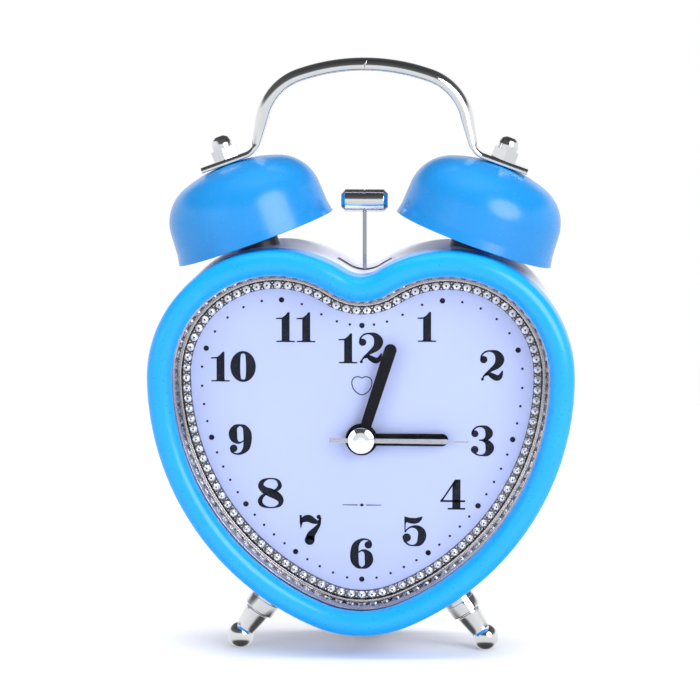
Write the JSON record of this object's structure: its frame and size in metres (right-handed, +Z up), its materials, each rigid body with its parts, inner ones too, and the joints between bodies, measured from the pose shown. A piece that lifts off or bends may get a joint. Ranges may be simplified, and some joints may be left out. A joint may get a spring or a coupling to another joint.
{
  "type": "alarm clock",
  "caption": "Heart-shaped table alarm clock with two top bells, a swinging striker, a carrying handle, splayed ball-foot legs and a stone-set dial surround.",
  "frame": {"origin": "centre of the bounding box at the surface the clock stands on", "axes": "+X to the right seen from the front, front faces -Y, +Z up"},
  "size_m": [0.1196, 0.052, 0.1676],
  "materials": {
    "bezel_blue": "glossy moulded ABS",
    "bell_blue": "gloss lacquer",
    "chrome": "mirror plated",
    "crystal": "faceted clear acrylic, foiled behind",
    "lens_clear": "clear acrylic",
    "dial_print": "printed matt sheet",
    "case_white": "satin moulded ABS",
    "screw_steel": "zinc plated",
    "dark_steel": "blackened",
    "rubber_black": "matt",
    "movement_plastic": "moulded",
    "board_green": "solder mask",
    "nylon_white": "moulded acetal",
    "copper": "enamelled wire",
    "brass": "turned",
    "hand_black": "semi-gloss",
    "hand_silver": "polished",
    "knob_black": "satin moulded",
    "battery_wrap": "plain shrink sleeve"
  },
  "bodies": {
    "root": {"front_bezel": "bezel_blue", "window_lens": "lens_clear", "trim_ring": "chrome", "trim_crystals": "crystal", "dial_plate": "dial_print", "case_shell": "case_white", "back_cover": "case_white", "back_cover_screws": "screw_steel", "bell_left": "bell_blue", "bell_right": "bell_blue", "bell_posts": "dark_steel", "bell_studs": "screw_steel", "stud_lock_nuts": "screw_steel", "acorn_nuts": "chrome", "handle": "chrome", "leg_left": "chrome", "leg_right": "chrome", "leg_collars": "chrome", "leg_screws": "screw_steel", "rear_foot": "rubber_black", "movement_front_shell": "movement_plastic", "movement_rear_shell": "movement_plastic", "wheel_pins": "screw_steel", "circuit_board": "board_green", "quartz_can": "chrome", "coil_bobbin": "nylon_white", "coil_winding": "copper", "stator": "dark_steel", "battery_cell": "battery_wrap", "battery_spring": "screw_steel", "battery_contact": "screw_steel", "striker_bracket": "dark_steel", "bracket_screws": "screw_steel", "striker_pins": "screw_steel", "motor_can": "screw_steel"},
    "second_train": {"second_wheel": "brass", "second_hand": "hand_silver", "second_hand_cap": "chrome"},
    "rotor": {"rotor_magnet": "dark_steel", "rotor_pinion": "nylon_white"},
    "intermediate": {"intermediate_wheel": "nylon_white"},
    "third": {"third_wheel": "nylon_white"},
    "centre": {"centre_wheel": "brass"},
    "minute_train": {"minute_arbor": "brass", "minute_hand": "hand_black"},
    "transfer": {"transfer_wheel": "nylon_white", "time_set_knob": "knob_black"},
    "hour_train": {"hour_wheel": "nylon_white", "hour_hand": "hand_black"},
    "alarm_train": {"alarm_wheel": "nylon_white", "alarm_hand": "hand_black"},
    "alarm_setter": {"alarm_set_gear": "nylon_white", "alarm_set_knob": "knob_black"},
    "striker_wheel": {"striker_gear": "nylon_white"},
    "motor_shaft": {"motor_shaft_pinion": "brass"},
    "hammer": {"hammer_arm": "hand_silver", "hammer_head": "chrome"},
    "switch": {"alarm_switch_slider": "knob_black"},
    "door": {"battery_door": "case_white"}
  },
  "joints": [
    {"name": "second_hand_turn", "type": "hinge", "parent": "root", "child": "second_train", "pos_m": [0, 0, 0.0611], "axis": [0, 1, 0], "continuous": true},
    {"name": "rotor_turn", "type": "hinge", "parent": "root", "child": "rotor", "pos_m": [-0.0117, 0, 0.05555], "axis": [0, 1, 0], "continuous": true},
    {"name": "intermediate_turn", "type": "hinge", "parent": "root", "child": "intermediate", "pos_m": [-0.00606, 0, 0.0576], "axis": [0, 1, 0], "continuous": true},
    {"name": "third_turn", "type": "hinge", "parent": "root", "child": "third", "pos_m": [0.00601, 0, 0.05509], "axis": [0, 1, 0], "continuous": true},
    {"name": "centre_turn", "type": "hinge", "parent": "root", "child": "centre", "pos_m": [0, 0, 0.0611], "axis": [0, 1, 0], "continuous": true},
    {"name": "minute_hand_turn", "type": "hinge", "parent": "root", "child": "minute_train", "pos_m": [0, 0, 0.0611], "axis": [0, 1, 0], "continuous": true},
    {"name": "time_set_turn", "type": "hinge", "parent": "root", "child": "transfer", "pos_m": [-0.00831, 0, 0.0659], "axis": [0, 1, 0], "continuous": true},
    {"name": "hour_hand_turn", "type": "hinge", "parent": "root", "child": "hour_train", "pos_m": [0, 0, 0.0611], "axis": [0, 1, 0], "continuous": true},
    {"name": "alarm_hand_turn", "type": "hinge", "parent": "root", "child": "alarm_train", "pos_m": [0, 0, 0.0611], "axis": [0, 1, 0], "continuous": true},
    {"name": "alarm_set_turn", "type": "hinge", "parent": "root", "child": "alarm_setter", "pos_m": [0.01039, 0, 0.0671], "axis": [0, 1, 0], "continuous": true},
    {"name": "striker_gear_turn", "type": "hinge", "parent": "root", "child": "striker_wheel", "pos_m": [0, 0, 0.088], "axis": [0, 1, 0], "continuous": true},
    {"name": "motor_turn", "type": "hinge", "parent": "root", "child": "motor_shaft", "pos_m": [0.01, 0, 0.088], "axis": [0, 1, 0], "continuous": true},
    {"name": "hammer_swing", "type": "hinge", "parent": "root", "child": "hammer", "pos_m": [0, 0, 0.099], "axis": [0, 1, 0], "range_deg": [-5.2, 5.2]},
    {"name": "alarm_switch_slide", "type": "slide", "parent": "root", "child": "switch", "axis": [0, 0, 1], "range_m": [0, 0.004]},
    {"name": "battery_door_lift", "type": "slide", "parent": "root", "child": "door", "axis": [0, 1, 0], "range_m": [0, 0.03]}
  ],
  "couplings": [
    {"joint": "rotor_turn", "follows": "second_hand_turn", "ratio": 30},
    {"joint": "intermediate_turn", "follows": "second_hand_turn", "ratio": -6},
    {"joint": "third_turn", "follows": "second_hand_turn", "ratio": -0.13333},
    {"joint": "centre_turn", "follows": "second_hand_turn", "ratio": 0.016667},
    {"joint": "time_set_turn", "follows": "minute_hand_turn", "ratio": -0.33333},
    {"joint": "hour_hand_turn", "follows": "minute_hand_turn", "ratio": 0.083333},
    {"joint": "alarm_set_turn", "follows": "alarm_hand_turn", "ratio": -2},
    {"joint": "motor_turn", "follows": "striker_gear_turn", "ratio": -3}
  ]
}
